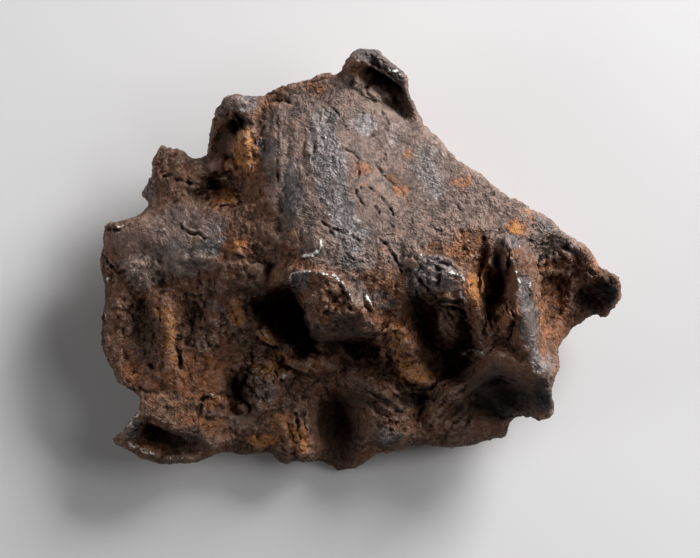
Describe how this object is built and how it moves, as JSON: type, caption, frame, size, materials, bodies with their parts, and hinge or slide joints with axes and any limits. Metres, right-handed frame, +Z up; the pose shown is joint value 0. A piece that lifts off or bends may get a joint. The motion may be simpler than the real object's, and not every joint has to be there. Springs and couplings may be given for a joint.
{
  "type": "iron meteorite fragment",
  "caption": "Torn, rusted lump of iron with a smooth shield, curled lips, deep hollows and a thumbprinted underside.",
  "frame": {"origin": "on the surface that the fragment lies on, under the middle of its bounding box", "axes": "+X along the fragment's length, towards its pointed end; +Y across it, towards the curled upper lip; +Z up, through its least height"},
  "size_m": [0.1992, 0.1624, 0.0622],
  "materials": {
    "rusted_iron": "chocolate-brown rust scale over dark metal, orange rust in the hollows, bare bright metal on the torn rims"
  },
  "bodies": {
    "root": {"meteorite": "rusted_iron"}
  },
  "joints": []
}
